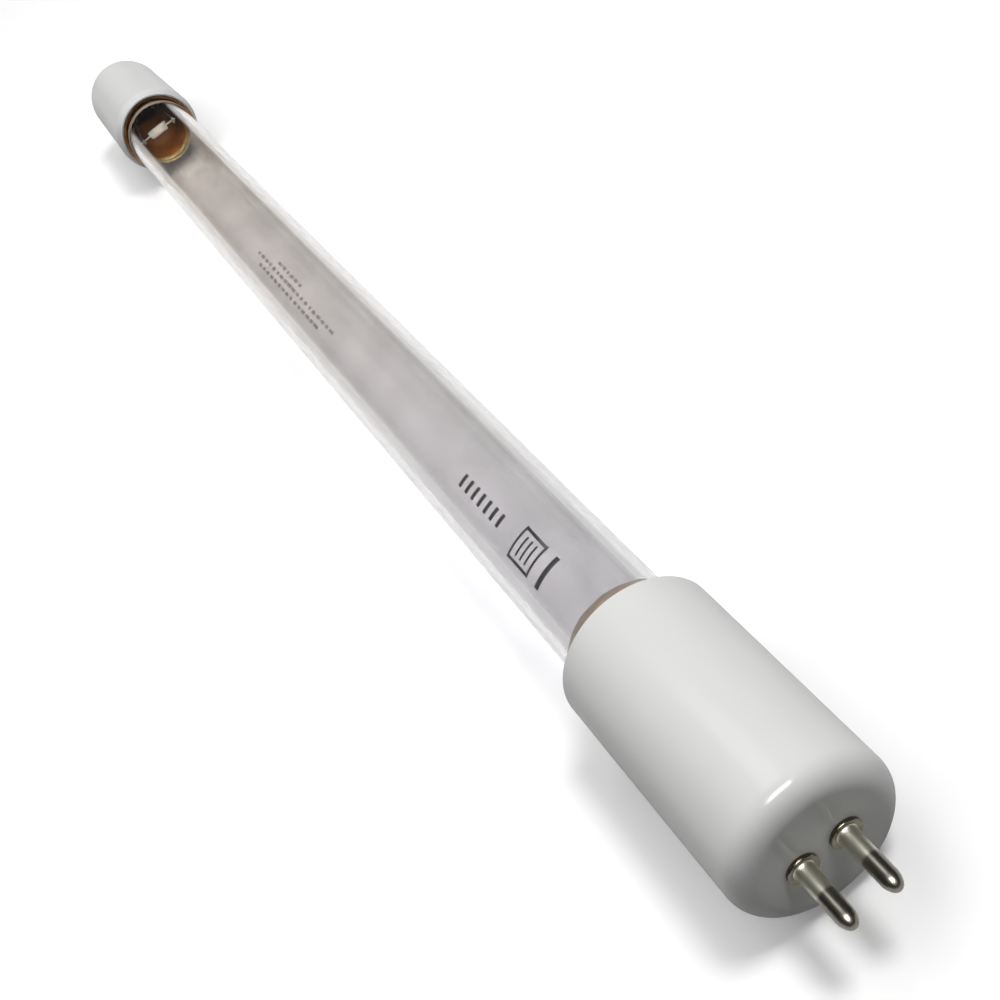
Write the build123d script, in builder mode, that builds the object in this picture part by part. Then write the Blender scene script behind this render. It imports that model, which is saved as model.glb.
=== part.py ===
"""Double-ended ultraviolet germicidal lamp: a clear quartz tube, pinch sealed at both ends,
with a coil electrode at each end, cemented into two glazed ceramic caps with contact pins.

The lamp lies along X. The origin is the middle of the base cap's face, between its two pins.
+X points out of the base, along the pins, the pins stand side by side along Y, and Z is up.
"""
import os
from collections import namedtuple
from math import floor

from build123d import *

# Overall length, from the base cap's face to the end cap's face
face_to_face = 295.0

# Quartz envelope
tube_d = 16.0
tube_wall = 1.2
pinch_length = 11.0
pinch_side_step = 1.3
pinch_swell = 0.6
pinch_edge_r = 1.2
shoulder_length = 7.0
shoulder_side_step = 0.5
throat_gap = 2.0
seal_gap = 3.5

# Ceramic caps
base_cap_length = 36.5
base_cap_wall = 1.95
base_cap_draft = 0.0
base_cap_edge_r = 3.0
base_cap_lip = 1.55
base_cap_lip_length = 0.4
end_cap_length = 35.5
end_cap_wall = 1.05
end_cap_draft = 0.7
end_cap_edge_r = 4.2
end_cap_lip = 0.35
end_cap_lip_length = 2.5
cap_front_wall = 5.0
cap_mouth_r = 0.3
chamber_clearance = 0.25
chamber_corner_r = 1.0

# Basing cement between tube and cap, squeezed out below and drawn in above
cement_gap = 0.85
cement_length = 16.0
cement_proud = 1.3
cement_recess = 0.5

# Contact pins, riveted through the cap's front wall, with a cup for the lead wire behind
pin_d = 2.35
pin_root_step = 0.12
pin_root_length = 0.6
pin_shank_d = 2.0
pin_spacing = 5.8
pin_reach = 8.7
pin_tip_length = 1.7
pin_tip_d = 0.8
pin_tip_arc_r = 2.7
pin_cup_depth = 4.2
flange_width = 0.85
flange_thickness = 0.55
flange_dish = 0.15
flange_bevel = 0.12
rivet_width = 0.5
rivet_thickness = 0.5

# Electrode: coil, hooked support wires, sealing foils and outer lead wires
wire_d = 0.6
coil_span = 8.8
coil_d = 2.1
coil_turn_depth = 0.2
coil_turn_pitch = 0.62
coil_tail_d = 0.4
coil_end_gap = 1.2
coil_tail_reach = 0.5
coil_inside_mouth = 1.0
support_straight = 1.5
support_bend_r = 6.0
hook_return = 0.6
foil_length = 8.0
foil_width = 2.4
foil_thickness = 0.2
foil_overlap = 2.0

# Clearances
bond_clearance = 0.05
hole_clearance = 0.05
weld_gap = 0.02
hook_clearance = 0.03
cup_clearance = 0.03

# Sizes that follow from the ones above
tube_r = tube_d / 2
bore_r = tube_r - tube_wall
mouth_bore_r = tube_r + cement_gap
chamber_r = tube_r + chamber_clearance
pinch_width = tube_d - 2 * pinch_side_step
pinch_thickness = 2 * (tube_wall + pinch_swell)
pinch_start = cap_front_wall + seal_gap
pinch_end = pinch_start + pinch_length
round_start = pinch_end + shoulder_length
pin_r = pin_d / 2
shank_r = pin_shank_d / 2
wire_r = wire_d / 2
cup_r = wire_r + cup_clearance
rivet_end = -cap_front_wall - rivet_thickness
cup_end = rivet_end + pin_cup_depth
coil_tail_r = coil_tail_d / 2
hook_r = coil_tail_r + hook_clearance + wire_r
foil_start = pinch_start + (pinch_length - foil_length) / 2
foil_end = foil_start + foil_length
foil_drop = wire_r + weld_gap + foil_thickness / 2
wire_seat_length = (pinch_length - foil_length) / 2 + foil_overlap

# The two ends of the lamp. Each is laid out on the plane of its own cap face, seen from outside:
# local x to the right, local y up and local z out of the face, so depths are negative offsets.
LampEnd = namedtuple("LampEnd", "name face cap_length cap_wall cap_draft cap_edge_r cap_lip cap_lip_length")
base = LampEnd(
    "base",
    Plane(origin=(0, 0, 0), x_dir=(0, 1, 0), z_dir=(1, 0, 0)),
    base_cap_length,
    base_cap_wall,
    base_cap_draft,
    base_cap_edge_r,
    base_cap_lip,
    base_cap_lip_length,
)
end = LampEnd(
    "end",
    Plane(origin=(-face_to_face, 0, 0), x_dir=(0, -1, 0), z_dir=(-1, 0, 0)),
    end_cap_length,
    end_cap_wall,
    end_cap_draft,
    end_cap_edge_r,
    end_cap_lip,
    end_cap_lip_length,
)
lamp_ends = [base, end]
sides = {"left": -1, "right": 1}

os.makedirs("parts", exist_ok=True)


def section_plane(face, across=0):
    """A plane through a cap face's normal: local x is the radius, local y runs out of the face."""
    return Plane(face.from_local_coords((across, 0, 0)), face.x_dir, face.x_dir.cross(face.z_dir))


def upright_plane(face):
    """The middle plane turned upright: local x is the height, local y runs out of the face."""
    return Plane(face.origin, face.y_dir, face.y_dir.cross(face.z_dir))


def face_plane(face, across, height):
    """A plane beside a cap face, moved to one of its pins and raised above the face."""
    return Plane(face.from_local_coords((across, 0, height)), face.x_dir, face.z_dir)


def normal_axis(face, across=0):
    """The line along a cap face's normal, through the lamp's middle or one of its pins."""
    return Axis(face.from_local_coords((across, 0, 0)), face.z_dir)


def coil_depth(lamp_end):
    """How far behind the cap's face the electrode coil lies."""
    return lamp_end.cap_length - coil_inside_mouth


def finish(piece, name):
    """Name a finished piece and write its file."""
    piece.part.label = name
    export_step(piece.part, f"parts/{name}.step")


# Quartz envelope: a round tube whose ends are heated and pressed flat around the sealing foils.
# The press leaves a shoulder that narrows to a flat throat, and a block with rounded edges.
with BuildPart() as quartz_tube:
    round_length = face_to_face - 2 * round_start
    with BuildSketch(base.face.offset(-round_start)):
        Circle(tube_r)
    extrude(amount=-round_length)
    for lamp_end in lamp_ends:
        with BuildSketch(lamp_end.face.offset(-round_start)):
            Circle(tube_r)
        with BuildSketch(lamp_end.face.offset(-pinch_end)):
            Ellipse(tube_r - shoulder_side_step, throat_gap / 2 + tube_wall)
        loft()
        with BuildSketch(lamp_end.face.offset(-pinch_start)):
            RectangleRounded(pinch_width, pinch_thickness, pinch_edge_r)
        extrude(amount=-pinch_length)
    with BuildSketch(base.face.offset(-round_start)):
        Circle(bore_r)
    extrude(amount=-round_length, mode=Mode.SUBTRACT)
    for lamp_end in lamp_ends:
        with BuildSketch(lamp_end.face.offset(-round_start)):
            Circle(bore_r)
        with BuildSketch(lamp_end.face.offset(-pinch_end)):
            Ellipse(bore_r - shoulder_side_step, throat_gap / 2)
        loft(mode=Mode.SUBTRACT)
        # Seats of the outer leads, the inner support wires and the foils in the pressed quartz
        for wire_seat in (pinch_start, foil_end - foil_overlap):
            with BuildSketch(lamp_end.face.offset(-wire_seat)):
                with GridLocations(pin_spacing, 0, 2, 1):
                    Circle(wire_r + bond_clearance)
            extrude(amount=-wire_seat_length, mode=Mode.SUBTRACT)
        with BuildSketch(lamp_end.face.offset(bond_clearance - foil_start)):
            with Locations((0, -foil_drop)):
                with GridLocations(pin_spacing, 0, 2, 1):
                    Rectangle(foil_width + 2 * bond_clearance, foil_thickness + 2 * bond_clearance)
        extrude(amount=-foil_length - 2 * bond_clearance, mode=Mode.SUBTRACT)
finish(quartz_tube, "quartz_tube")

for lamp_end in lamp_ends:
    face = lamp_end.face
    mouth = -lamp_end.cap_length
    lip = mouth + lamp_end.cap_lip_length
    lip_r = mouth_bore_r + lamp_end.cap_lip
    wall_r = mouth_bore_r + lamp_end.cap_wall
    face_r = wall_r - lamp_end.cap_draft

    # Ceramic cap: a glazed cup with a thick front wall for the pins, a chamber around the pinch
    # seal, and a wider counterbore that the cement fills, behind a lip that thins to the mouth.
    with BuildPart() as cap:
        with BuildSketch(section_plane(face)) as cap_profile:
            with BuildLine():
                Polyline(
                    (0, 0),
                    (face_r, 0),
                    (wall_r, lip),
                    (lip_r, mouth),
                    (mouth_bore_r, mouth),
                    (mouth_bore_r, mouth + cement_length),
                    (chamber_r, mouth + cement_length),
                    (chamber_r, -cap_front_wall),
                    (0, -cap_front_wall),
                    close=True,
                )
            make_face()
            corners = cap_profile.vertices()
            fillet(corners.sort_by_distance((face_r, 0))[0], lamp_end.cap_edge_r)
            fillet(corners.sort_by_distance((wall_r, lip))[0], lamp_end.cap_lip_length)
            fillet(corners.sort_by_distance((lip_r, mouth))[0], min(cap_mouth_r, 0.8 * lamp_end.cap_lip))
            fillet(corners.sort_by_distance((chamber_r, -cap_front_wall))[0], chamber_corner_r)
        revolve(axis=normal_axis(face))
        with BuildSketch(face):
            with GridLocations(pin_spacing, 0, 2, 1):
                Circle(shank_r + hole_clearance)
        extrude(amount=-cap_front_wall, mode=Mode.SUBTRACT)
    finish(cap, f"{lamp_end.name}_cap")

    # Basing cement: a cured ring between tube and counterbore. It sagged before it set, so its
    # front slopes from a recess at the top to a bead that stands proud at the bottom.
    with BuildPart() as cement:
        with BuildSketch(section_plane(face)):
            with BuildLine():
                Polyline(
                    (tube_r + bond_clearance, mouth + cement_length - bond_clearance),
                    (mouth_bore_r - bond_clearance, mouth + cement_length - bond_clearance),
                    (mouth_bore_r - bond_clearance, mouth - cement_proud),
                    (tube_r + bond_clearance, mouth - cement_proud),
                    close=True,
                )
            make_face()
        revolve(axis=normal_axis(face))
        with BuildSketch(upright_plane(face)):
            with BuildLine():
                Polyline(
                    (mouth_bore_r, mouth + cement_recess),
                    (-mouth_bore_r, mouth - cement_proud),
                    (mouth_bore_r, mouth - cement_proud),
                    close=True,
                )
            make_face()
        extrude(amount=mouth_bore_r, both=True, mode=Mode.SUBTRACT)
    finish(cement, f"{lamp_end.name}_cement")

    # Electrode coil: a tungsten coil dipped in white emitter, which leaves its turns as soft
    # ridges. Bare tails at its two ends lie in the hooks of the support wires.
    coil_half = coil_span / 2 - wire_r - coil_end_gap
    turns = floor(2 * coil_half / coil_turn_pitch)
    turn_length = 2 * coil_half / turns
    tail_end = coil_span / 2 + wire_r + coil_tail_reach
    valley_r = coil_d / 2 - coil_turn_depth
    coil_plane = Plane(
        face.from_local_coords((0, -hook_r, -coil_depth(lamp_end))),
        x_dir=face.x_dir,
        z_dir=face.z_dir,
    )
    with BuildPart() as filament:
        with BuildSketch(coil_plane):
            with BuildLine():
                ridges = [(-coil_half, valley_r)]
                for turn in range(turns):
                    start = -coil_half + turn * turn_length
                    ridges.append((start + turn_length / 2, coil_d / 2))
                    ridges.append((start + turn_length, valley_r))
                Polyline(
                    *ridges,
                    (coil_half, coil_tail_r),
                    (tail_end, coil_tail_r),
                    (tail_end, 0),
                    (-tail_end, 0),
                    (-tail_end, coil_tail_r),
                    (-coil_half, coil_tail_r),
                    (-coil_half, valley_r),
                )
            make_face()
        revolve(axis=Axis(coil_plane.origin, coil_plane.x_dir))
    finish(filament, f"{lamp_end.name}_filament")

    for side, right in sides.items():
        across = right * pin_spacing / 2
        hook_across = right * coil_span / 2

        # Contact pin: a nickel-plated pin with a tapered root and a bullet tip. Its dished flange
        # seats on the cap's face, and its shank is riveted over behind the front wall and takes the
        # lead in a cup.
        with BuildPart() as pin:
            rim = pin_r + flange_width
            root = flange_thickness - flange_dish
            with BuildSketch(section_plane(face, across)):
                with BuildLine():
                    Polyline(
                        (cup_r, rivet_end),
                        (shank_r + rivet_width, rivet_end),
                        (shank_r + rivet_width, -cap_front_wall),
                        (shank_r, -cap_front_wall),
                        (shank_r, 0),
                        (rim, 0),
                        (rim, flange_thickness - flange_bevel),
                        (rim - flange_bevel, flange_thickness),
                        (rim - 2 * flange_bevel, flange_thickness),
                        (pin_r + pin_root_step, root),
                        (pin_r, root + pin_root_length),
                        (pin_r, pin_reach - pin_tip_length),
                    )
                    RadiusArc(
                        (pin_r, pin_reach - pin_tip_length),
                        (pin_tip_d / 2, pin_reach),
                        -pin_tip_arc_r,
                    )
                    Polyline(
                        (pin_tip_d / 2, pin_reach),
                        (0, pin_reach),
                        (0, cup_end),
                        (cup_r, cup_end),
                        (cup_r, rivet_end),
                    )
                make_face()
            revolve(axis=normal_axis(face, across))
        finish(pin, f"{lamp_end.name}_pin_{side}")

        # Inner support wire: welded to the foil, it leaves the pinch straight, splays out to the
        # end of the coil and hooks down round the coil's tail.
        hook_start = -coil_depth(lamp_end)
        with BuildPart() as support:
            with BuildLine(section_plane(face)):
                FilletPolyline(
                    (across, foil_overlap - foil_end),
                    (across, -pinch_end - support_straight),
                    (hook_across, hook_start + support_straight),
                    (hook_across, hook_start),
                    radius=support_bend_r,
                )
                hook = ThreePointArc(
                    (hook_across, hook_start, 0),
                    (hook_across, hook_start - hook_r, hook_r),
                    (hook_across, hook_start, 2 * hook_r),
                )
                Line(hook @ 1, hook @ 1 + face.z_dir * hook_return)
            with BuildSketch(face_plane(face, across, foil_overlap - foil_end)):
                Circle(wire_r)
            sweep()
        finish(support, f"{lamp_end.name}_support_{side}")

        # Sealing foil: a thin molybdenum strip pressed into the pinch, which carries the current
        # through the quartz without cracking it.
        with BuildPart() as foil:
            with BuildSketch(face_plane(face, across, -foil_start)):
                with Locations((0, -foil_drop)):
                    Rectangle(foil_width, foil_thickness)
            extrude(amount=-foil_length)
        finish(foil, f"{lamp_end.name}_foil_{side}")

        # Outer lead: a wire from the foil out of the pinch and into the cup of the pin.
        with BuildPart() as lead:
            with BuildSketch(face_plane(face, across, cup_end - cup_clearance)):
                Circle(wire_r)
            extrude(amount=-cup_end + cup_clearance - foil_start - foil_overlap)
        finish(lead, f"{lamp_end.name}_lead_{side}")
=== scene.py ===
"""Looks of a double-ended ultraviolet germicidal lamp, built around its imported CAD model.

The lamp lies along X with the middle of the base cap's face at the origin. +X runs out of the
base along its pins, the pins stand side by side along Y, and Z is up.
"""
import math

import bmesh
import bpy
from mathutils import Matrix, Vector, noise


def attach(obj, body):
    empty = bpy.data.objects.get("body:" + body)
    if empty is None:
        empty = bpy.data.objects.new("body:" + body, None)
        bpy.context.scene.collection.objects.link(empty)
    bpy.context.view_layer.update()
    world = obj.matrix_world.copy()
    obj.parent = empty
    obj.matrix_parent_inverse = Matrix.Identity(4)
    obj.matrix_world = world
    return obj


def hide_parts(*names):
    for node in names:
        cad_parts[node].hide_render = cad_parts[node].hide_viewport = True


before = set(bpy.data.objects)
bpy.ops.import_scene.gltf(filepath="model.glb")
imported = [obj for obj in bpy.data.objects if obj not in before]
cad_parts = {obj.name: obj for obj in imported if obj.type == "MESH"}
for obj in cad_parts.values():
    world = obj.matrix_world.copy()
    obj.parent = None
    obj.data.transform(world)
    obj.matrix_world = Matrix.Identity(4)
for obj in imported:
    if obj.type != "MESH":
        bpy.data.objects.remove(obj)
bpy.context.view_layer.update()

# Quartz envelope: a drawn tube of clear fused quartz, closed by softening both ends in a flame and
# pressing them flat over the sealing foils. Each end narrows through a shoulder into the pinch,
# which sits inside its cap. The wall is a solid of glass with an outer and an inner skin.
mm = 0.001
face_to_face = 295.0 * mm
lamp_middle = -face_to_face / 2
ends = (("base", 0.0, 1), ("end", -face_to_face, -1))
tube_r = 8.0 * mm
bore_r = 6.8 * mm
wall = tube_r - bore_r
tube_segments = 384
round_start = 26.5 * mm
shading_ring = 0.5 * mm
shoulder_steps = 10
shoulder_narrowing = 0.5 * mm
throat_half = 1.0 * mm
pinch_end = 19.5 * mm
pinch_start = 8.5 * mm
pinch_edge = 0.6 * mm
pinch_half_width = 6.7 * mm
pinch_half_thickness = 1.8 * mm
pinch_stretch = 1.3
pinch_taper = (0.95, 0.8)


def linear(code):
    """An sRGB hex colour as linear red, green, blue and alpha."""
    channels = [int(code[i:i + 2], 16) / 255 for i in (1, 3, 5)]
    return [c / 12.92 if c <= 0.04045 else ((c + 0.055) / 1.055) ** 2.4 for c in channels] + [1.0]


def add_node(tree, kind, sockets=None, **settings):
    """Add a node, set its properties, and give its input sockets a value or a link."""
    node = tree.nodes.new(kind)
    for key, value in settings.items():
        setattr(node, key, value)
    for key, value in (sockets or {}).items():
        if isinstance(value, bpy.types.NodeSocket):
            tree.links.new(value, node.inputs[key])
        else:
            node.inputs[key].default_value = value
    return node


def start_material(name):
    """A new material, with its node tree, its shader and the piece's own coordinates."""
    material = bpy.data.materials.new(name)
    material.use_nodes = True
    tree = material.node_tree
    place = add_node(tree, "ShaderNodeTexCoord").outputs["Object"]
    return material, tree, tree.nodes["Principled BSDF"], place


def as_object(bm, name, *materials):
    """Close a bmesh into a smooth-shaded object that rides on the lamp."""
    for face in bm.faces:
        face.smooth = True
    mesh = bpy.data.meshes.new(name)
    bm.to_mesh(mesh)
    bm.free()
    piece = bpy.data.objects.new(name, mesh)
    bpy.context.scene.collection.objects.link(piece)
    for material in materials:
        mesh.materials.append(material)
    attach(piece, "root")
    return piece


def ease(part):
    """A run from 0 to 1 that starts and ends level."""
    return part * part * (3 - 2 * part)


def carry_on(bm, edges, x, grow=(1, 1), flat=None):
    """Extrude a ring of edges along the lamp to x, growing it in width and height."""
    made = bmesh.ops.extrude_edge_only(bm, edges=edges)["geom"]
    verts = [item for item in made if isinstance(item, bmesh.types.BMVert)]
    bmesh.ops.translate(bm, verts=verts, vec=(x - verts[0].co.x, 0, 0))
    bmesh.ops.scale(bm, verts=verts, vec=(1, grow[0], grow[1]))
    if flat:
        for vert in verts:
            vert.co.z = max(-flat, min(flat, vert.co.z))
    return [item for item in made if isinstance(item, bmesh.types.BMEdge)]


def envelope_skin(bm, radius, throat, block):
    """One skin of the envelope: round in the middle, with a shoulder at both ends."""
    before = set(bm.faces)
    circle = bmesh.ops.create_circle(bm, segments=tube_segments, radius=radius)["verts"]
    bmesh.ops.rotate(bm, verts=circle, matrix=Matrix.Rotation(math.pi / 2, 3, "Y"))
    bmesh.ops.translate(bm, verts=circle, vec=(lamp_middle, 0, 0))
    first = list(dict.fromkeys(edge for vert in circle for edge in vert.link_edges))
    for _, face_x, out in ends:
        # A short ring before the shoulder keeps the long straight run evenly shaded.
        edges = carry_on(bm, first, face_x - out * (round_start + shading_ring))
        edges = carry_on(bm, edges, face_x - out * round_start)
        height = width = 1.0
        for step in range(1, shoulder_steps + 1):
            part = step / shoulder_steps
            new_height = 1 + (throat / radius - 1) * ease(part)
            new_width = 1 - shoulder_narrowing / radius * ease(part)
            x = face_x - out * (round_start + (pinch_end - round_start) * part)
            edges = carry_on(bm, edges, x, (new_width / width, new_height / height))
            height, width = new_height, new_width
        if block:
            pressed = (pinch_half_width / (radius * width), pinch_stretch)
            x = face_x - out * (pinch_end - pinch_edge)
            edges = carry_on(bm, edges, x, pressed, pinch_half_thickness)
            edges = carry_on(bm, edges, face_x - out * (pinch_start + pinch_edge))
            edges = carry_on(bm, edges, face_x - out * pinch_start, pinch_taper)
        bmesh.ops.holes_fill(bm, edges=edges)
    faces = [face for face in bm.faces if face not in before]
    bmesh.ops.recalc_face_normals(bm, faces=faces)
    return faces


envelope = bmesh.new()
envelope_skin(envelope, tube_r, throat_half + wall, True)
bore = envelope_skin(envelope, bore_r, throat_half, False)
bmesh.ops.reverse_faces(envelope, faces=bore)

# Clear fused quartz, drawn and fire polished: a hard gloss and refraction at both skins. Its faint, cloudy
# grey-lilac tint is partly a bloom left by use and partly painted shade for the shaded floor seen through
# the tube. It is painted paler and warmer towards the end cap, as painted light that makes up for the
# dimmer light there. The wall darkens the long ways through it, so that the tube's two sides stand out from
# a white ground.
cloud_size = 9 * mm
painted_light_near_x = -60 * mm
painted_light_far_x = -250 * mm
wall_density = 0.05 / mm

quartz, tree, shader, place = start_material("clear_fused_quartz_fire_polished")
cloud = add_node(tree, "ShaderNodeTexNoise", {"Vector": place, "Scale": 1 / cloud_size, "Detail": 4})
near = add_node(
    tree,
    "ShaderNodeMix",
    {0: cloud.outputs["Fac"], 6: linear("#d6d5d5"), 7: linear("#ebeaeb")},
    data_type="RGBA",
)
far = add_node(
    tree,
    "ShaderNodeMix",
    {0: cloud.outputs["Fac"], 6: linear("#e7e3de"), 7: linear("#fcf9f4")},
    data_type="RGBA",
)
spot = add_node(tree, "ShaderNodeSeparateXYZ", {0: place})
# Painted light: the tint is painted paler towards the end cap, where the floor under the tube gets less
# light.
painted_light_fade = add_node(
    tree,
    "ShaderNodeMapRange",
    {"Value": spot.outputs["X"], "From Min": painted_light_near_x, "From Max": painted_light_far_x},
)
bloom_and_painted_light = add_node(
    tree,
    "ShaderNodeMix",
    {0: painted_light_fade.outputs[0], 6: near.outputs[2], 7: far.outputs[2]},
    data_type="RGBA",
)
tree.links.new(bloom_and_painted_light.outputs[2], shader.inputs["Base Color"])
shader.inputs["Roughness"].default_value = 0.01
shader.inputs["IOR"].default_value = 1.458
shader.inputs["Transmission Weight"].default_value = 1.0
path = add_node(tree, "ShaderNodeLightPath")
passing = add_node(tree, "ShaderNodeBsdfTransparent", {"Color": linear("#dcdbdd")})
glass = add_node(
    tree,
    "ShaderNodeMixShader",
    {0: path.outputs["Is Shadow Ray"], 1: shader.outputs[0], 2: passing.outputs[0]},
)
tree.links.new(glass.outputs[0], tree.nodes["Material Output"].inputs["Surface"])
depth = add_node(
    tree,
    "ShaderNodeVolumeAbsorption",
    {"Color": linear("#4c4c54"), "Density": wall_density},
)
tree.links.new(depth.outputs[0], tree.nodes["Material Output"].inputs["Volume"])

quartz_envelope = as_object(envelope, "quartz_envelope", quartz)
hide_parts("quartz_tube")

# Printed marks: ink fired on the glass after the tube was drawn. Plain bars near the base and faint
# rows of dashes further along, each a thin skin that follows the round of the tube.
ink_r = tube_r + 0.004 * mm
ink_thickness = 0.012 * mm
ink_steps = 6

# A mark is its place along the tube in millimetres, its angle from the top in degrees, and its length
# along the tube and its width round it in millimetres.
bar_count = 7
bar_start = -74.0
bar_pitch = 1.9
bar_angle = -19
bar_size = (0.75, 2.0)
square_x = -55.0
square_angle = -20
square_half = 2.6
square_half_angle = 16
square_width = 5.0
square_line = 0.45
slat_pitch = 1.2
slat_size = (0.4, 3.0)
last_bar_x = -49.6
last_bar_length = 0.9
bars = [(bar_start + bar_pitch * step, bar_angle, *bar_size) for step in range(bar_count)]
bars += [(square_x + side * square_half, square_angle, square_line, square_width) for side in (-1, 1)]
for side in (1, -1):
    edge_angle = square_angle + side * square_half_angle
    bars.append((square_x, edge_angle, 2 * square_half + square_line, square_line))
bars += [(square_x + slat_pitch * step, square_angle, *slat_size) for step in (-1, 0, 1)]
bars.append((last_bar_x, square_angle, last_bar_length, square_width))

dash_pitch = 2.1
dash_length = 1.3
dash_change = 0.9
dash_width = 0.6
# Each row is its start, its number of dashes and its angle. The dashes' lengths walk through a noise.
dash_rows = ((-161, 15, -27), (-164, 19, -17), (-155, 6, -7))
dashes = []
for row, (start, count, angle) in enumerate(dash_rows):
    for step in range(count):
        length = dash_length + dash_change * noise.noise(Vector((step * 0.83, row * 3.7, 0.5)))
        dashes.append((start + step * dash_pitch, angle, length, dash_width))

inks = []
for name, dark, light, wear_size, roughness in (
    # Fired black ink: dull and near black, with greyer spots where it is worn.
    ("black_fired_ink", "#1d1c1e", "#4a484b", 0.7 * mm, 0.6),
    # The same ink faded by ultraviolet light: a thin grey, not far from the grey of the tube.
    ("grey_faded_ink", "#6d6864", "#a39d9a", 0.9 * mm, 0.7),
):
    ink, tree, shader, place = start_material(name)
    worn = add_node(tree, "ShaderNodeTexNoise", {"Vector": place, "Scale": 1 / wear_size, "Detail": 4})
    tone = add_node(
        tree,
        "ShaderNodeMix",
        {0: worn.outputs["Fac"], 6: linear(dark), 7: linear(light)},
        data_type="RGBA",
    )
    tree.links.new(tone.outputs[2], shader.inputs["Base Color"])
    shader.inputs["Roughness"].default_value = roughness
    inks.append(ink)

printed = bmesh.new()
for tint, marks in enumerate((bars, dashes)):
    for along, angle, length, width in marks:
        before = set(printed.faces)
        patch = bmesh.ops.create_grid(printed, x_segments=1, y_segments=ink_steps, size=0.5)["verts"]
        bmesh.ops.scale(printed, verts=patch, vec=(length * mm, width * mm, 1))
        for vert in patch:
            turn = vert.co.y / ink_r + math.radians(angle)
            vert.co = (vert.co.x + along * mm, ink_r * math.sin(turn), ink_r * math.cos(turn))
        faces = [face for face in printed.faces if face not in before]
        bmesh.ops.solidify(printed, geom=faces, thickness=-ink_thickness)
        for face in printed.faces:
            if face not in before:
                face.material_index = tint
bmesh.ops.recalc_face_normals(printed, faces=printed.faces)
printed_marks = as_object(printed, "printed_marks", *inks)

# Ceramic caps: pressed and fired steatite cups, dipped in a white glaze that rounds every edge.
# They are cemented over the two pinches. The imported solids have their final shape.
cap_lengths = {"base": 36.5 * mm, "end": 35.5 * mm}
mouths = {end: face_x - out * cap_lengths[end] for end, face_x, out in ends}
flow_size = 14 * mm
peel_size = 2.5 * mm
peel_height = 0.1 * mm
smear_r = 8.8 * mm
clean_face = 3 * mm


def measure_along(tree, place, x):
    """Sockets for a point's distance along the lamp from x, and for its height."""
    spot = add_node(tree, "ShaderNodeSeparateXYZ", {0: place})
    offset = add_node(tree, "ShaderNodeMath", {0: spot.outputs["X"], 1: x}, operation="SUBTRACT")
    distance = add_node(tree, "ShaderNodeMath", {0: offset.outputs[0]}, operation="ABSOLUTE")
    return distance.outputs[0], spot.outputs["Z"]


# White glazed steatite: an even, slightly grey white under a thin clear skin, smooth enough to draw a lamp
# as a soft streak. Inside, behind the mouth, the ceramic is smeared brown with cement. The smear is painted
# a light brown as painted light for the dim inside of the cap.
glaze, tree, shader, place = start_material("white_glazed_steatite")
flow = add_node(tree, "ShaderNodeTexNoise", {"Vector": place, "Scale": 1 / flow_size, "Detail": 2})
tone = add_node(
    tree,
    "ShaderNodeMix",
    {0: flow.outputs["Fac"], 6: linear("#e0e1df"), 7: linear("#e6e6e5")},
    data_type="RGBA",
)
peel = add_node(tree, "ShaderNodeTexNoise", {"Vector": place, "Scale": 1 / peel_size, "Detail": 2})
skin = add_node(
    tree,
    "ShaderNodeBump",
    {"Height": peel.outputs["Fac"], "Strength": 0.015, "Distance": peel_height},
)
sides = add_node(tree, "ShaderNodeVectorMath", {0: place, 1: (0, 1, 1)}, operation="MULTIPLY")
radius = add_node(tree, "ShaderNodeVectorMath", {0: sides.outputs[0]}, operation="LENGTH")
inside = add_node(tree, "ShaderNodeMath", {0: radius.outputs["Value"], 1: smear_r}, operation="LESS_THAN")
distance, _ = measure_along(tree, place, lamp_middle)
behind = add_node(
    tree,
    "ShaderNodeMath",
    {0: distance, 1: face_to_face / 2 - clean_face},
    operation="LESS_THAN",
)
smear_and_painted_light = add_node(
    tree,
    "ShaderNodeMath",
    {0: inside.outputs[0], 1: behind.outputs[0]},
    operation="MULTIPLY",
)
# Painted light: the cement smear inside the cap is painted lighter than the dim inside would show.
body = add_node(
    tree,
    "ShaderNodeMix",
    {0: smear_and_painted_light.outputs[0], 6: tone.outputs[2], 7: linear("#c09050")},
    data_type="RGBA",
)
tree.links.new(body.outputs[2], shader.inputs["Base Color"])
tree.links.new(skin.outputs["Normal"], shader.inputs["Normal"])
tree.links.new(skin.outputs["Normal"], shader.inputs["Coat Normal"])
shader.inputs["Roughness"].default_value = 0.5
shader.inputs["Specular IOR Level"].default_value = 0.0
shader.inputs["Coat Weight"].default_value = 0.35
shader.inputs["Coat Roughness"].default_value = 0.14
for end, _, _ in ends:
    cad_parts[f"{end}_cap"].data.materials[0] = glaze

# Basing cement: amber phenolic cement, squeezed into the gap between tube and cap and cured. It drew
# back at the top of each mouth and stands out as a lumpy bead at the sides and below. A thin collar
# of it was wiped on the glass outside the mouth.
glass_gap = 0.05 * mm
cement_inner = tube_r + glass_gap
cement_outer = 8.8 * mm
cement_length = 16.0 * mm
cement_steps = 144
seat_start = 3 * mm
seat_steps = 12
outer_lip = 0.4 * mm
inner_lip = 0.3 * mm
lip_round = 0.25 * mm
lip_bulge = 0.05 * mm
bead_depth = 2 * mm
bead_proud = 1.1 * mm
bead_draw = 1.16 * mm
bead_draw_from = -0.25
bead_draw_curve = 1.3
bead_limit = 1.5 * mm
lump_size = 2.2 * mm
lump_height = 0.35 * mm
collar_start = 1.6 * mm
collar_end = 3.3 * mm
collar_edge = 0.03 * mm
collar_thickness = 0.12 * mm
collar_ragged = 0.2 * mm
outer_margin = 0.1 * mm
merge_gap = 0.001 * mm

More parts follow.
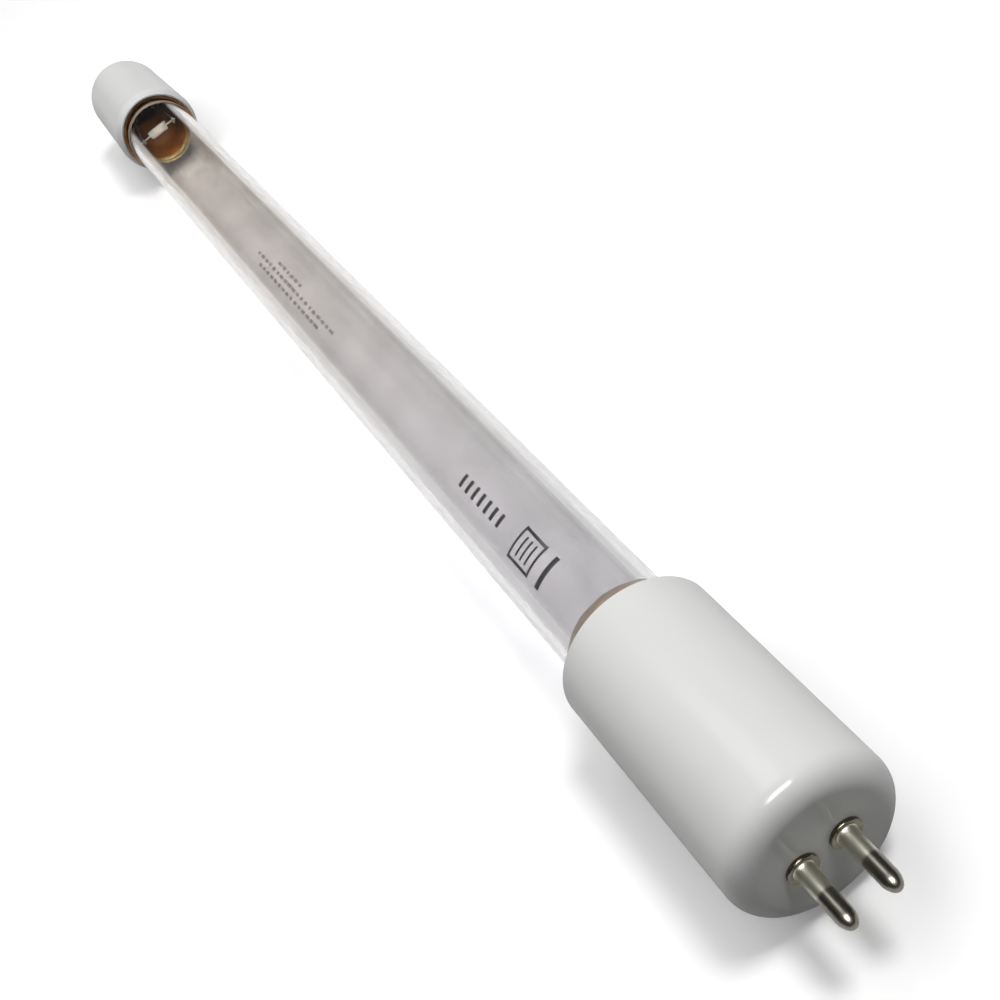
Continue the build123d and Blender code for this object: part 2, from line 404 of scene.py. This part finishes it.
# Amber phenolic cement, baked hard in place: a dull gloss over coarse grit. Its colour holds painted shade
# and painted light: painted a dark brown at the top of the mouth for the shade there, painted a lit orange
# where it lies deep or low, and painted a glowing pale gold at the thin lower edge as if light shone
# through it. The film on the glass is its own beige.
grit_size = 1.2 * mm
grit_height = 0.15 * mm
mouth_middle = (mouths["base"] + mouths["end"]) / 2
mouth_half = (mouths["base"] - mouths["end"]) / 2

cement, tree, shader, place = start_material("amber_basing_cement_cured")
grit = add_node(tree, "ShaderNodeTexNoise", {"Vector": place, "Scale": 1 / grit_size, "Detail": 5})
tones = {}
for name, dark, light in (
    ("painted_shade_brown", "#4a2d0b", "#865620"),
    ("painted_lit_orange", "#b46a26", "#e09a48"),
    ("wiped", "#85766a", "#a89888"),
    ("gold", "#e0c47a", "#fdf0c6"),
):
    tone = add_node(
        tree,
        "ShaderNodeMix",
        {0: grit.outputs["Fac"], 6: linear(dark), 7: linear(light)},
        data_type="RGBA",
    )
    tones[name] = tone.outputs[2]
distance, height = measure_along(tree, place, mouth_middle)
deep = add_node(
    tree,
    "ShaderNodeMapRange",
    {"Value": distance, "From Min": mouth_half + 1.0 * mm, "From Max": mouth_half + 3.0 * mm},
)
low = add_node(
    tree,
    "ShaderNodeMapRange",
    {"Value": height, "From Min": 2.0 * mm, "From Max": -3.0 * mm},
)
painted_lit_mask = add_node(tree, "ShaderNodeMath", {0: deep.outputs[0], 1: low.outputs[0]}, operation="MAXIMUM")
film = add_node(tree, "ShaderNodeMath", {0: distance, 1: mouth_half - bead_limit}, operation="LESS_THAN")
thin = add_node(
    tree,
    "ShaderNodeMapRange",
    {"Value": distance, "From Min": mouth_half + 0.4 * mm, "From Max": mouth_half - 0.3 * mm},
)
lowest = add_node(
    tree,
    "ShaderNodeMapRange",
    {"Value": height, "From Min": -0.5 * mm, "From Max": -4.0 * mm},
)
painted_glow_mask = add_node(tree, "ShaderNodeMath", {0: thin.outputs[0], 1: lowest.outputs[0]}, operation="MULTIPLY")
# The layers paint shade and light: painted dark brown shade at the top, a painted lit orange deep or low,
# and a painted glowing gold at the lower edge.
colour = tones["painted_shade_brown"]
for mask, name in ((painted_lit_mask, "painted_lit_orange"), (film, "wiped"), (painted_glow_mask, "gold")):
    layer = add_node(
        tree,
        "ShaderNodeMix",
        {0: mask.outputs[0], 6: colour, 7: tones[name]},
        data_type="RGBA",
    )
    colour = layer.outputs[2]
grain = add_node(
    tree,
    "ShaderNodeBump",
    {"Height": grit.outputs["Fac"], "Strength": 0.5, "Distance": grit_height},
)
tree.links.new(colour, shader.inputs["Base Color"])
tree.links.new(grain.outputs["Normal"], shader.inputs["Normal"])
shader.inputs["Roughness"].default_value = 0.38
shader.inputs["IOR"].default_value = 1.55


def draw_profile(bm, points, closed):
    """Join points by edges into a profile that is to be turned."""
    verts = [bm.verts.new(point) for point in points]
    following = verts[1:] + verts[:1] if closed else verts[1:]
    for a, b in zip(verts, following):
        bm.edges.new((a, b))


def turn_round(bm, centre, steps):
    """Turn all that is in a bmesh once round a line along X through the centre."""
    bmesh.ops.spin(
        bm,
        geom=bm.verts[:] + bm.edges[:],
        cent=centre,
        axis=(1, 0, 0),
        angle=2 * math.pi,
        steps=steps,
        use_merge=True,
    )
    bmesh.ops.remove_doubles(bm, verts=bm.verts, dist=merge_gap)


for end, _, out in ends:
    mouth = mouths[end]
    shoulder = cap_lengths[end] - round_start
    ring_outline = [
        (cement_outer, -cement_length),
        (cement_outer, -seat_start),
        (cement_outer, -outer_lip),
        (cement_outer - lip_round, 0.0),
        (cement_inner + lip_round, lip_bulge),
        (cement_inner, -inner_lip),
        (cement_inner, -seat_start),
    ]
    for step in range(seat_steps + 1):
        seat = -shoulder - (cement_length - shoulder) * step / seat_steps
        ring_outline.append((cement_inner, seat))
    collar_outline = [
        (cement_inner, collar_start),
        (cement_inner, collar_end),
        (cement_inner + collar_edge, collar_end),
        (cement_inner + collar_thickness, (collar_start + collar_end) / 2),
        (cement_inner + collar_edge, collar_start),
    ]
    ring = bmesh.new()
    for outline in (ring_outline, collar_outline):
        draw_profile(ring, [(mouth - out * along, 0, radius) for radius, along in outline], closed=True)
    turn_round(ring, (0, 0, 0), cement_steps)
    for vert in ring.verts:
        along = (mouth - vert.co.x) * out
        on_seat = along < -shoulder and math.hypot(vert.co.y, vert.co.z) < cement_outer - outer_margin
        if on_seat:
            part = (-along - shoulder) / (round_start - pinch_end)
            vert.co.y *= 1 - shoulder_narrowing / tube_r * ease(part)
            vert.co.z *= 1 + ((throat_half + wall + glass_gap) / tube_r - 1) * ease(part)
        if along > collar_start - collar_edge:
            vert.co.x -= out * noise.noise(vert.co / lump_size) * collar_ragged
        elif along >= -bead_depth:
            lump = noise.noise(vert.co / lump_size + Vector((3.1, 0, 0))) * lump_height
            drawn_back = max(0.0, vert.co.z / cement_outer - bead_draw_from) ** bead_draw_curve
            proud = bead_proud - bead_draw * drawn_back + lump
            vert.co.x -= out * max(-bead_limit, min(bead_limit, proud))
    bmesh.ops.recalc_face_normals(ring, faces=ring.faces)
    bead = as_object(ring, f"{end}_cement_bead", cement)
    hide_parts(f"{end}_cement")

# Electrode coils: tungsten wire wound into a short coil, dipped in white oxide emitter that clots on its
# turns, with tails that lie in the hooks of the support wires. The tails take the same emitter material.
coil_behind_mouth = 1.0 * mm
coil_half = 2.6 * mm
coil_turns = 8
coil_wire_r = 0.33 * mm
coil_wire_segments = 10
coil_turn_steps = 24
coil_r = 1.05 * mm - coil_wire_r
coil_height = -0.53 * mm
clot_size = 0.5 * mm
clot_height = 0.05 * mm
tail_r = 0.2 * mm
tail_half = 5.2 * mm
tail_segments = 16

# White oxide emitter on tungsten: matt and chalky, a warm white that hides the metal. Its powder is
# far finer than the grain drawn here, which is as coarse as it has to be to show.
powder_size = 0.3 * mm
emitter, tree, shader, place = start_material("white_oxide_emitter_on_tungsten")
powder = add_node(tree, "ShaderNodeTexNoise", {"Vector": place, "Scale": 1 / powder_size, "Detail": 4})
chalk = add_node(
    tree,
    "ShaderNodeMix",
    {0: powder.outputs["Fac"], 6: linear("#d9d4cb"), 7: linear("#f4f1ea")},
    data_type="RGBA",
)
tree.links.new(chalk.outputs[2], shader.inputs["Base Color"])
shader.inputs["Roughness"].default_value = 0.85

# A fixed seed gives the clots the same shape each run.
noise.seed_set(1)
for end, _, out in ends:
    x = mouths[end] + out * coil_behind_mouth
    wound = bmesh.new()
    section = bmesh.ops.create_circle(wound, segments=coil_wire_segments, radius=coil_wire_r)["verts"]
    bmesh.ops.rotate(wound, verts=section, matrix=Matrix.Rotation(math.pi / 2, 3, "Y"))
    bmesh.ops.translate(wound, verts=section, vec=(x, -coil_half + coil_wire_r, coil_height + coil_r))
    steps = coil_turn_steps * coil_turns
    bmesh.ops.spin(
        wound,
        geom=wound.verts[:] + wound.edges[:],
        cent=(x, 0, coil_height),
        axis=(0, 1, 0),
        dvec=(0, 2 * (coil_half - coil_wire_r) / steps, 0),
        angle=2 * math.pi * coil_turns,
        steps=steps,
    )
    bmesh.ops.holes_fill(wound, edges=[edge for edge in wound.edges if edge.is_boundary])
    for vert in wound.verts:
        vert.co += noise.noise_vector(vert.co / clot_size) * clot_height
    bmesh.ops.create_cone(
        wound,
        cap_ends=True,
        segments=tail_segments,
        radius1=tail_r,
        radius2=tail_r,
        depth=2 * tail_half,
        matrix=Matrix.Translation((x, 0, coil_height)) @ Matrix.Rotation(math.pi / 2, 4, "X"),
    )
    bmesh.ops.recalc_face_normals(wound, faces=wound.faces)
    coil = as_object(wound, f"{end}_coil", emitter)
    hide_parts(f"{end}_filament")

# Contact pins: turned brass, nickel plated, each with a dished flange on the cap's face, a tapered
# root and a bullet tip. The shank is riveted over inside the cap.
pin_spacing = 5.8 * mm
pin_steps = 64
plate_r = 1.3 * mm
# The outline is radius and distance out of the cap's face, in millimetres.
foot = [(0.33, -5.5), (1.5, -5.5), (1.5, -5.0)]
shank = [(1.0, -5.0), (1.0, 0.0)]
flange = [
    (1.97, 0.0), (2.02, 0.06), (2.025, 0.4), (2.0, 0.49), (1.94, 0.54), (1.86, 0.55), (1.78, 0.54),
    (1.5, 0.45), (1.33, 0.4),
]
root = [(1.25, 0.52), (1.2, 0.75), (1.178, 0.95), (1.175, 1.1)]
tip = [
    (1.175, 6.85), (1.172, 7.0), (1.155, 7.2), (1.11, 7.5), (1.02, 7.8), (0.88, 8.12), (0.7, 8.4),
    (0.5, 8.6), (0.25, 8.69), (0.0, 8.7),
]
pin_outline = foot + shank + flange + root + tip

# Nickel plate on turned brass: a pale satin metal at the root, and darker and glossier on the outer half,
# whose dark colour is painted reflection of the dark room that the tips mirror, with a ragged line between
# the two.
boundary_noise_size = 1.5 * mm
boundary_ragged = 0.5 * mm
dark_half_depth = 4.2 * mm
dark_half_fade = 0.4 * mm

nickel, tree, shader, place = start_material("nickel_plate_on_brass")
boundary_noise = add_node(tree, "ShaderNodeTexNoise", {"Vector": place, "Scale": 1 / boundary_noise_size, "Detail": 5})
distance, _ = measure_along(tree, place, lamp_middle)
ragged = add_node(
    tree,
    "ShaderNodeMath",
    {0: boundary_noise.outputs["Fac"], 1: boundary_ragged, 2: distance},
    operation="MULTIPLY_ADD",
)
dark_half_from = face_to_face / 2 + dark_half_depth
painted_dark_half = add_node(
    tree,
    "ShaderNodeMapRange",
    {"Value": ragged.outputs[0], "From Min": dark_half_from, "From Max": dark_half_from + dark_half_fade},
)
half_roughness = add_node(
    tree,
    "ShaderNodeMapRange",
    {"Value": painted_dark_half.outputs[0], "To Min": 0.42, "To Max": 0.32},
)
# Painted reflection: the outer half of each pin is painted dark for the dark surroundings it mirrors.
plate = add_node(
    tree,
    "ShaderNodeMix",
    {0: painted_dark_half.outputs[0], 6: linear("#b6b4a5"), 7: linear("#78746b")},
    data_type="RGBA",
)
tree.links.new(half_roughness.outputs[0], shader.inputs["Roughness"])
tree.links.new(plate.outputs[2], shader.inputs["Base Color"])
shader.inputs["Metallic"].default_value = 1.0

# Tarnished brass, where the plate is gone from the flange: a dark brownish metal, mottled, with a sharp
# gleam along its rounded edge. Its darkness is partly real tarnish and partly painted reflection of the
# shaded cap face and dark room it mirrors.
tarnish_size = 0.8 * mm
brass, tree, shader, place = start_material("tarnished_and_painted_dark_brass_flange")
mottle = add_node(tree, "ShaderNodeTexNoise", {"Vector": place, "Scale": 1 / tarnish_size, "Detail": 5})
# Painted reflection: the flange's dark tone stands partly for the shade it mirrors, and partly for tarnish.
tarnish_and_painted_reflection = add_node(
    tree,
    "ShaderNodeMix",
    {0: mottle.outputs["Fac"], 6: linear("#4a4439"), 7: linear("#807b6c")},
    data_type="RGBA",
)
tree.links.new(tarnish_and_painted_reflection.outputs[2], shader.inputs["Base Color"])
shader.inputs["Metallic"].default_value = 1.0
shader.inputs["Roughness"].default_value = 0.24

for end, face_x, out in ends:
    for side, right in (("left", -1), ("right", 1)):
        across = out * right * pin_spacing / 2
        turned = bmesh.new()
        outline = [(face_x + out * x * mm, across, r * mm) for r, x in pin_outline]
        draw_profile(turned, outline, closed=False)
        turn_round(turned, (face_x, across, 0), pin_steps)
        bmesh.ops.holes_fill(turned, edges=[edge for edge in turned.edges if edge.is_boundary])
        bmesh.ops.recalc_face_normals(turned, faces=turned.faces)
        for face in turned.faces:
            middle = face.calc_center_median() - Vector((face_x, across, 0))
            wide = math.hypot(middle.y, middle.z) > plate_r
            face.material_index = 1 if wide and middle.x * out > 0 else 0
        pin = as_object(turned, f"{end}_contact_pin_{side}", nickel, brass)
        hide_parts(f"{end}_pin_{side}")

# Wires and foils: drawn nickel wires hook round the coil's tails and leave through the pinch to the
# pins, joined inside the quartz by rolled molybdenum foils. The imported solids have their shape.
metals = []
for name, colour, grain_size, smooth, rough in (
    # Drawn nickel wire: a pale, warm metal, dulled by marks from the die, drawn coarse enough to show.
    ("drawn_nickel_wire", "#dcd8cf", 0.6 * mm, 0.35, 0.5),
    # Rolled molybdenum foil: a cool grey metal, silky from the rolls, with marks drawn as coarse.
    ("rolled_molybdenum_foil", "#a9a8ab", 0.5 * mm, 0.3, 0.5),
):
    metal, tree, shader, place = start_material(name)
    marked = add_node(tree, "ShaderNodeTexNoise", {"Vector": place, "Scale": 1 / grain_size, "Detail": 3})
    dull = add_node(
        tree,
        "ShaderNodeMapRange",
        {
            "Value": marked.outputs["Fac"],
            "From Min": 0.3,
            "From Max": 0.7,
            "To Min": smooth,
            "To Max": rough,
        },
    )
    tree.links.new(dull.outputs[0], shader.inputs["Roughness"])
    shader.inputs["Base Color"].default_value = linear(colour)
    shader.inputs["Metallic"].default_value = 1.0
    metals.append(metal)
wire, foil = metals
for end, _, _ in ends:
    for side in ("left", "right"):
        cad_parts[f"{end}_support_{side}"].data.materials[0] = wire
        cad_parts[f"{end}_lead_{side}"].data.materials[0] = wire
        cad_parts[f"{end}_foil_{side}"].data.materials[0] = foil

# Studio: a pale floor under the caps, a white sweep around it and a dark ceiling. The floor and the
# sweep show white to the camera, and to what the glass and the metal mirror, and keep the shadow.
floor_z = -10.85 * mm
floor_half = 3.0
glow_from = 0.45
glow_to = 1.5
glow_near = 0.17
glow_far = 0.97
floor_seen = 0.95
floor_unseen = 0.15
ground = bmesh.new()
bmesh.ops.create_grid(ground, x_segments=1, y_segments=1, size=floor_half)
bmesh.ops.translate(ground, verts=ground.verts, vec=(0, 0, floor_z))
floor_mesh = bpy.data.meshes.new("studio_floor")
ground.to_mesh(floor_mesh)
ground.free()
floor = bpy.data.objects.new("studio_floor", floor_mesh)
bpy.context.scene.collection.objects.link(floor)

# Pale studio paper: matt and near white. It glows more the further it lies from the lamp, as a sweep
# that is lit from behind does, so that it runs into the white around it without an edge.
paper, tree, shader, place = start_material("pale_studio_paper")
tree.nodes.remove(shader)
path = add_node(tree, "ShaderNodeLightPath")
seen = add_node(
    tree,
    "ShaderNodeMath",
    {0: path.outputs["Is Camera Ray"], 1: path.outputs["Is Glossy Ray"]},
    operation="MAXIMUM",
)
seen = add_node(
    tree,
    "ShaderNodeMath",
    {0: seen.outputs[0], 1: path.outputs["Is Transmission Ray"]},
    operation="MAXIMUM",
)
away = add_node(
    tree,
    "ShaderNodeVectorMath",
    {0: place, 1: (lamp_middle, 0, floor_z)},
    operation="DISTANCE",
)
rise = add_node(
    tree,
    "ShaderNodeMapRange",
    {
        "Value": away.outputs["Value"],
        "From Min": glow_from,
        "From Max": glow_to,
        "To Min": glow_near,
        "To Max": glow_far,
    },
)
lift = add_node(tree, "ShaderNodeMath", {0: seen.outputs[0], 1: rise.outputs[0]}, operation="MULTIPLY")
glow = add_node(tree, "ShaderNodeEmission", {"Strength": lift.outputs[0]})
shade = add_node(
    tree,
    "ShaderNodeMix",
    {0: seen.outputs[0], 6: (floor_unseen,) * 3 + (1,), 7: (floor_seen,) * 3 + (1,)},
    data_type="RGBA",
)
matt = add_node(tree, "ShaderNodeBsdfDiffuse", {"Color": shade.outputs[2]})
both = add_node(tree, "ShaderNodeAddShader", {0: glow.outputs[0], 1: matt.outputs[0]})
tree.links.new(both.outputs[0], tree.nodes["Material Output"].inputs["Surface"])
floor_mesh.materials.append(paper)

# The world is white to the camera. Glass and metal mirror it as a white sweep, low down, under a dark
# ceiling, and it adds a little even light.
sweep_top = 0.07
ceiling_level = 0.03
even_light = 0.12
world = bpy.data.worlds.new("white_sweep_under_dark_ceiling")
bpy.context.scene.world = world
world.use_nodes = True
tree = world.node_tree
facing = add_node(tree, "ShaderNodeTexCoord").outputs["Generated"]
way = add_node(tree, "ShaderNodeSeparateXYZ", {0: facing})
sweep = add_node(
    tree,
    "ShaderNodeMapRange",
    {
        "Value": way.outputs["Z"],
        "From Min": 0.0,
        "From Max": sweep_top,
        "To Min": 1.0,
        "To Max": ceiling_level,
    },
)
path = add_node(tree, "ShaderNodeLightPath")
through = add_node(
    tree,
    "ShaderNodeMath",
    {0: path.outputs["Is Glossy Ray"], 1: path.outputs["Is Transmission Ray"]},
    operation="MAXIMUM",
)
mirrored = add_node(tree, "ShaderNodeMix", {0: through.outputs[0], 2: even_light, 3: sweep.outputs[0]})
level = add_node(
    tree,
    "ShaderNodeMix",
    {0: path.outputs["Is Camera Ray"], 2: mirrored.outputs[0], 3: 1.0},
)
tree.links.new(level.outputs[0], tree.nodes["Background"].inputs["Strength"])
tree.nodes["Background"].inputs["Color"].default_value = (1, 1, 1, 1)

# Lights: an overhead strip is only mirrored, as the streak on the glaze and the spark on each pin's
# tip. A key box gives the shadows and a wide fill box softens them. A panel behind adds light on the
# far end and is mirrored as the line along each pin.
strip_tilt = 17
strip_data = bpy.data.lights.new("overhead_strip", "AREA")
strip_data.shape = "RECTANGLE"
strip_data.size = 0.2
strip_data.size_y = 0.44
strip_data.energy = 10.0
strip = bpy.data.objects.new("overhead_strip", strip_data)
strip.location = (0.22, 0.02, 0.75)
strip.rotation_euler = (0, math.radians(strip_tilt), 0)
strip.visible_diffuse = False
bpy.context.scene.collection.objects.link(strip)

lit_spot = Vector((-0.12, 0, 0))
for name, side, energy, position, is_mirrored in (
    ("key_box", 0.26, 5.2, (0.08, 0.38, 0.88), False),
    ("fill_box", 0.8, 3.0, (-0.32, -0.42, 0.85), False),
    ("ceiling_panel", 0.35, 1.3, (-0.42, 0.05, 0.78), True),
):
    box_data = bpy.data.lights.new(name, "AREA")
    box_data.shape = "SQUARE"
    box_data.size = side
    box_data.energy = energy
    box = bpy.data.objects.new(name, box_data)
    box.location = position
    aim = lit_spot - box.location
    box.rotation_euler = aim.to_track_quat("-Z", "Y").to_euler()
    box.visible_glossy = is_mirrored
    bpy.context.scene.collection.objects.link(box)

# Camera: the photograph's viewing angle, close above the base and looking down along the lamp.
camera_place = Vector((78.14, -11.95, 131.24)) * mm
camera_right = Vector((0.44323, 0.7779, -0.44542)).normalized()
camera_look = Vector((-0.7573, 0.0591, -0.65038))
camera_data = bpy.data.cameras.new("camera")
camera_data.sensor_fit = "HORIZONTAL"
camera_data.sensor_width = 36.0
camera_data.lens = 51.04
camera_data.clip_start = 0.01
camera = bpy.data.objects.new("camera", camera_data)
square_look = (camera_look - camera_right * camera_look.dot(camera_right)).normalized()
camera_up = camera_right.cross(square_look)
turn = Matrix((camera_right, camera_up, -square_look)).transposed()
camera.matrix_world = Matrix.Translation(camera_place) @ turn.to_4x4()
bpy.context.scene.collection.objects.link(camera)
bpy.context.scene.camera = camera
bpy.context.scene.view_settings.view_transform = "Standard"
